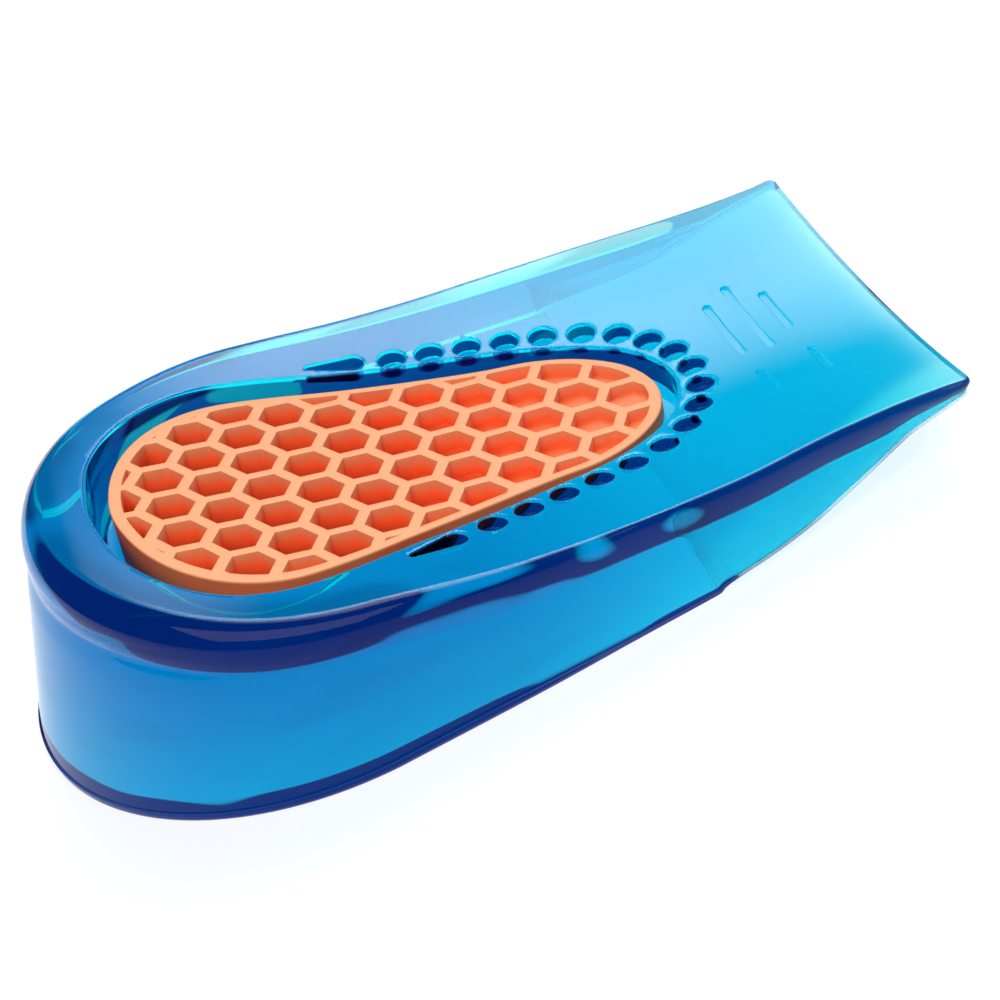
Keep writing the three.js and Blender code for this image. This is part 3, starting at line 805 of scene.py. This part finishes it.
# Paints shade on the thick edges, base lip, recesses and far pocket walls of the gel, lifts it where light is painted
# as caught in the near rim, and marks where its underside is matt.
def paintGel(body):
    mesh = body.data
    co = pointRows(mesh.vertices, "co") / mm
    normal = pointRows(mesh.vertex_normals, "vector")
    rim = tongueOutline(gel["heelArc"], rimWidths, 0, toeX)
    index, away = nearest(co[:, :2], rim)
    radius = roundAt(rim[:, 0])
    inner = rim - outward(rim) * radius[:, None]
    crestZ = dishZ(inner[:, 0], inner[:, 1])[index]
    base = tongueOutline(gel["baseArc"], baseWidths, gel["baseGrowth"], toeX - gel["baseToeInset"])
    footIndex, footAway = nearest(co[:, :2], base)
    footZ = undersideZ(base[:, 0], base[:, 1])[footIndex]
    bead = beadHeight(rim[index, 0], crestZ - footZ)
    down = (crestZ - co[:, 2]) / bead
    depth = dishZ(co[:, 0], co[:, 1]) - co[:, 2]
    facing = (normal[:, :2] * outward(rim)[index]).sum(axis=1)
    isOuter = (away < np.maximum(radius[index], 1.2)) & (facing > 0.05)
    x, isNear = co[:, 0], co[:, 1] < 0
    strength = edgeShade["rimHeel"] + (edgeShade["rimMiddle"] - edgeShade["rimHeel"]) * smooth(-30, 6, x)
    strength += edgeShade["rimTip"] * smooth(36, 46, x) * isNear
    strength *= 1 - (1 - edgeShade["rimBack"]) * smooth(-39, -46, x)
    # Painted shade on the outer bead of the rim, strongest at the heel and at the near toe tip.
    shade = isOuter * smooth(0.08, 0.4, facing) * (1 - smooth(0.86, 1.0, down)) * strength
    # Painted caught light lifts the painted shade in patches along the near rim.
    for lightX, level, halfLength, halfLevel in caughtLights:
        gap = np.hypot((x - lightX) / halfLength, (down - level) / halfLevel)
        shade *= 1 - edgeShade["caught"] * smooth(1.6, 0.2, gap) * isNear
    # Faint painted shade on the side wall, towards the heel.
    isSide = (facing > 0.5) & (down > 1)
    shade = np.maximum(shade, isSide * edgeShade["wall"] * smooth(1, 1.6, down) * smooth(20, -5, x))
    shade *= smooth(-0.5, 1, toeX - x)
    shade *= edgeShade["rimFar"] + (1 - edgeShade["rimFar"]) * smooth(14, -6, co[:, 1])
    # Painted shade on the top next to the rim, towards the heel.
    isTop = (normal[:, 2] > 0.5) & (depth < 0.3)
    shade = np.maximum(shade, isTop * edgeShade["top"] * smooth(9, 4, away) * smooth(8, -18, x))
    # Painted shade along the base lip, mostly on the near side.
    above = co[:, 2] - footZ
    lip = gel["lipHeight"] * np.clip((stationX(0.69) - x) / 30, 0.3, 1)
    isLip = (footAway < 1.2) & (above < lip * 1.08) & (normal[:, 2] > -0.85)
    lipShade = edgeShade["lip"] + (edgeShade["lipToe"] - edgeShade["lip"]) * smooth(18, 23, x)
    shade = np.maximum(shade, isLip * lipShade * smooth(0, 4, toeX - x) * smooth(10, 0, co[:, 1]))
    # Painted shade in the near recesses and both slots, and on the walls of the far recesses.
    isRecess = (depth < dots["depth"] + 1) & (depth > 0.3)
    for dotX, dotY, _ in ringPlaces():
        isHere = (np.hypot(x - dotX, co[:, 1] - dotY) < dots["radius"] + 0.3) & isRecess
        if dotY < -3:
            shade = np.maximum(shade, isHere * edgeShade["dots"])
        else:  # only the walls of the far ones
            shade = np.maximum(shade, isHere * edgeShade["farDots"] * (normal[:, 2] < 0.6))
    for side in (1, -1):
        slotX = stationX((slot["end"][0] + slot["tip"][0]) / 2)
        slotY = side * (slot["end"][1] + slot["tip"][1]) / 2 * dots["halfWidth"]
        isHere = (np.hypot(x - slotX, (co[:, 1] - slotY) * 1.6) < 4.6) & isRecess
        shade = np.maximum(shade, isHere * edgeShade["dots"])
    # Painted shade on the far and heel-end walls of the pocket.
    line = eggOutline(pocketX, pocketLength, pocket["insertHalfWidth"] + pocket["sideMoat"], pocketWidths)
    wallAway = nearest(co[:, :2] + seatAxis[:1] * depth[:, None] * [1, 0], line)[1]
    isWall = (wallAway < 1.2) & (depth > 0.4) & (np.abs(normal[:, 2]) < 0.8)
    farSide = smooth(-6, 2, co[:, 1]) + smooth(-34, -38, x)
    shade = np.maximum(shade, isWall * edgeShade["pocket"] * np.clip(farSide, 0, 1))
    matte = ((normal[:, 2] < -0.6) & (co[:, 2] < undersideZ(co[:, 0], co[:, 1]) + 0.5)).astype(float)
    addNumbers(mesh, "shade", shade)
    addNumbers(mesh, "matte", matte)


def buildGel():
    verts, faces = gelSkin()
    body = meshObject("gelBody", verts, faces)
    single = dotCutter()
    places = ringPlaces()
    turns = [tuple(surfaceTurn(x, y).to_euler()) for x, y, _ in places]
    ring = repeated("dotRing", single, places, turns, repeatCopies, gelLook)
    cutters = [pocketCutter(), ring, slotCutter(1), slotCutter(-1)]
    cutters.append(gateCutter())
    cutters += [barCutter(stationX(share), y, length) for share, y, length in barPlaces]
    cut(body, cutters)
    drop(cutters + [single])
    finishSurface(body, gelLook, 38)
    paintGel(body)
    return body


# Honeycomb
comb = {"pitch": 6.02, "wall": 1.15, "rowStart": 0.2216, "firstY": 14.38}


def cellPlaces():
    step = comb["pitch"] * math.sqrt(3) / 2
    places = []
    for row in range(-4, 11):
        for column in range(-8, 9):
            x = stationX(comb["rowStart"]) + row * step
            y = comb["firstY"] - (column + (abs(row) % 2) / 2) * comb["pitch"]
            inside = insertX - comb["pitch"] / 2 < x < insertX + pocket["insertLength"] + comb["pitch"] / 2
            if inside and abs(y) < pocket["insertHalfWidth"] + comb["pitch"] / 2:
                top = np.array([[x, y, float(insertTopZ(x))]])
                places.append(toSeat(top, 0.3 + pocket["cellFloor"])[0])
    return places


# Egg-shaped plug square to the seat, with a rounded top edge.
def plugObject(name, inset, rise, above, edge):
    length, halfWidth = pocket["insertLength"] - 2 * inset, pocket["insertHalfWidth"] - inset
    line = eggOutline(insertX + inset, length, halfWidth, insertWidths)
    out = outward(line)
    rings = []
    middle = np.column_stack([np.clip(line[:, 0], insertX + 18, insertX + pocket["insertLength"] - 12), 0 * line[:, 0]])
    inner = line - out * edge
    for share in np.linspace(0, 1, 12):
        q = middle + (inner - middle) * share
        rings.append(np.column_stack([q, insertTopZ(q[:, 0])]) + seatAxis * rise)
    for turn in np.linspace(0, math.pi / 2, 5)[1:]:
        q = inner + out * edge * math.sin(turn)
        rings.append(np.column_stack([q, insertTopZ(q[:, 0])]) + seatAxis * (rise - edge * (1 - math.cos(turn))))
    low = toSeat(np.column_stack([line, insertTopZ(line[:, 0])]), above)
    high = rings[-1]
    for share in (0.04, 0.12, 0.3, 0.6, 1):
        rings.append(high + (low - high) * share)
    for share in np.linspace(1, 0, 6)[1:]:
        q = middle + (line - middle) * share
        rings.append(toSeat(np.column_stack([q, insertTopZ(q[:, 0])]), above))
    verts, faces = skin(rings)
    return meshObject(name, verts, faces)


def cellCutter():
    turn = np.arange(6) * math.pi / 3
    radius = (comb["pitch"] - comb["wall"]) / math.sqrt(3)
    line = np.column_stack([np.cos(turn), np.sin(turn)]) * radius
    rings = [np.column_stack([line, np.full(6, z)]) for z in (16.0, 0.0)]
    verts, faces = skin(rings, closeStart=True, closeEnd=True)
    return meshObject("cellCutter", verts, faces)


# Marks how deep each point lies, for the painted light and shade in the foam, with the outer wall marked at least as
# deep as wallDepth so that it is painted redder.
def paintInsert(body):
    fullDepth, wallDepth, wallReach = 6.0, 0.32, 0.12
    points = pointRows(body.data.vertices, "co") / mm
    under = insertTopZ(points[:, 0]) - points[:, 2]
    outline = eggOutline(insertX, pocket["insertLength"], pocket["insertHalfWidth"], insertWidths)
    lifted = points + seatAxis * (under / math.cos(tilt))[:, None]
    onWall = nearest(lifted[:, :2], outline)[1] < wallReach
    depth = np.maximum(np.clip(under / fullDepth, 0, 1), onWall * smooth(0.05, 0.3, under) * wallDepth)
    addNumbers(body.data, "depth", depth)


def buildInsert():
    body = plugObject("honeycombInsert", 0, 0, 0.3, pocket["edgeRound"])
    window = plugObject("window", pocket["border"], 4, 0.3 + pocket["cellFloor"], 0.05)
    single = cellCutter()
    places = cellPlaces()
    turns = [(0, tilt, 0)] * len(places)
    cells = repeated("cells", single, places, turns, repeatCopies, insertLook)
    clip = cells.modifiers.new("clip", "BOOLEAN")
    clip.object = window
    clip.operation = "INTERSECT"
    clip.solver = "EXACT"
    plain(cells)
    cut(body, [cells])
    bevel = body.modifiers.new("soften", "BEVEL")
    bevel.width = 0.00012
    bevel.segments = 2
    bevel.limit_method = "ANGLE"
    bevel.angle_limit = math.radians(40)
    bevel.use_clamp_overlap = True
    plain(body)
    drop([window, single, cells])
    paintInsert(body)
    finishSurface(body, insertLook, 30)
    return body


gelBody = buildGel()
print("gel body", len(gelBody.data.polygons), "faces")
insertBody = buildInsert()
print("insert", len(insertBody.data.polygons), "faces")

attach(gelBody, "root")
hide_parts("gel_cup")
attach(insertBody, "root")
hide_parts("honeycomb_insert")


# Floor and light
studio = {
    "floorBase": 0.3,
    "floorGlow": 0.75,
    # Colours of the painted light in the glowing floor patch under the gel.
    "patchHeel": (0.01, 0.49, 0.94),
    "patchToe": (0.03, 0.8, 1.2),
    "frontPower": 6.0,
    "roomColor": (0.02, 0.09, 0.24),
    "window": 7.4,
    "windowAzimuth": 36,
    "windowElevation": 46,
    "windowInner": 8,
    "windowOuter": 27,
}


def floorMaterial(name, base):
    material, shader = newMaterial(name)[:2]
    shader.inputs["Base Color"].default_value = (base, base, base, 1)
    shader.inputs["Roughness"].default_value = 0.7
    shader.inputs["Specular IOR Level"].default_value = 0.0
    shader.inputs["Emission Color"].default_value = (1, 1, 1, 1)
    shader.inputs["Emission Strength"].default_value = studio["floorGlow"]
    return material, shader, material.node_tree.links


# Floor patch that glows with painted light, standing in for light tinted by passing down through the gel, bluer under
# the thick heel than under the toe.
def paintedLightPatch():
    material, shader, links = floorMaterial("paintedLightFloor", 0.0)
    nodes = material.node_tree.nodes
    coords = nodes.new("ShaderNodeTexCoord")
    split = nodes.new("ShaderNodeSeparateXYZ")
    level = nodes.new("ShaderNodeMapRange")
    level.interpolation_type = "SMOOTHSTEP"
    level.inputs["From Min"].default_value = -0.005
    level.inputs["From Max"].default_value = 0.032
    paintedLightMix = nodes.new("ShaderNodeMix")
    paintedLightMix.data_type = "RGBA"
    paintedLightMix.inputs["A"].default_value = (*studio["patchHeel"], 1)
    paintedLightMix.inputs["B"].default_value = (*studio["patchToe"], 1)
    links.new(coords.outputs["Object"], split.inputs["Vector"])
    links.new(split.outputs["X"], level.inputs["Value"])
    links.new(level.outputs["Result"], paintedLightMix.inputs["Factor"])
    links.new(paintedLightMix.outputs["Result"], shader.inputs["Emission Color"])
    return material


# Pale floor, with a patch under the gel that glows with painted blue light, shifted to where the camera sees the floor
# through the gel.
def addFloor():
    foot = tongueOutline(gel["baseArc"], baseWidths, gel["baseGrowth"], toeX - gel["baseToeInset"], 0.8)
    rise = undersideZ(foot[:, 0], foot[:, 1])
    foot = foot + np.column_stack([0.13 * rise, 1.45 * rise])
    far = 2000 * foot / np.abs(foot).max(axis=1)[:, None]
    flat = [np.column_stack([ring, np.zeros(len(ring))]) for ring in (foot, far)]
    verts, faces = skin(flat, closeStart=True)
    mesh = bpy.data.meshes.new("paleFloor")
    mesh.from_pydata([tuple(v) for v in verts * mm], [], faces)
    mesh.materials.append(floorMaterial("paleFloor", studio["floorBase"])[0])
    mesh.materials.append(paintedLightPatch())
    mesh.polygons[-1].material_index = 1
    mesh.update()
    floor = bpy.data.objects.new("paleFloor", mesh)
    bpy.context.scene.collection.objects.link(floor)
    return floor


def addLight(name, place, target, size, power):
    data = bpy.data.lights.new(name, "AREA")
    data.shape = "RECTANGLE"
    data.size, data.size_y = size
    data.energy = power
    light = bpy.data.objects.new(name, data)
    aim = Vector(target) - Vector(place)
    light.matrix_world = Matrix.Translation(place) @ aim.to_track_quat("-Z", "Y").to_matrix().to_4x4()
    bpy.context.scene.collection.objects.link(light)
    return light


floor = addFloor()
addLight("frontSoftbox", (-0.12, -0.45, 0.75), (0, 0, 0), (0.9, 0.6), studio["frontPower"])


# Dim room with one wide soft window of light behind and above the object.
def addWorld(sizes):
    world = bpy.data.worlds.new("studio")
    bpy.context.scene.world = world
    world.use_nodes = True
    nodes, links = world.node_tree.nodes, world.node_tree.links
    back = nodes["Background"]
    coords = nodes.new("ShaderNodeTexCoord")
    facing = nodes.new("ShaderNodeVectorMath")
    facing.operation = "DOT_PRODUCT"
    turn, rise = math.radians(sizes["windowAzimuth"]), math.radians(sizes["windowElevation"])
    facing.inputs[1].default_value = (math.sin(turn) * math.cos(rise), math.cos(turn) * math.cos(rise), math.sin(rise))
    level = nodes.new("ShaderNodeMapRange")
    level.interpolation_type = "SMOOTHSTEP"
    level.inputs["From Min"].default_value = math.cos(math.radians(sizes["windowOuter"]))
    level.inputs["From Max"].default_value = math.cos(math.radians(sizes["windowInner"]))
    light = nodes.new("ShaderNodeMix")
    light.data_type = "RGBA"
    light.clamp_factor = True
    light.inputs["A"].default_value = (*sizes["roomColor"], 1)
    light.inputs["B"].default_value = (sizes["window"], sizes["window"], sizes["window"], 1)
    links.new(coords.outputs["Generated"], facing.inputs[0])
    links.new(facing.outputs["Value"], level.inputs["Value"])
    links.new(level.outputs["Result"], light.inputs["Factor"])
    links.new(light.outputs["Result"], back.inputs["Color"])
    back.inputs["Strength"].default_value = 1.0


addWorld(studio)
bpy.context.scene.view_settings.view_transform = "Standard"
print("stage ready")
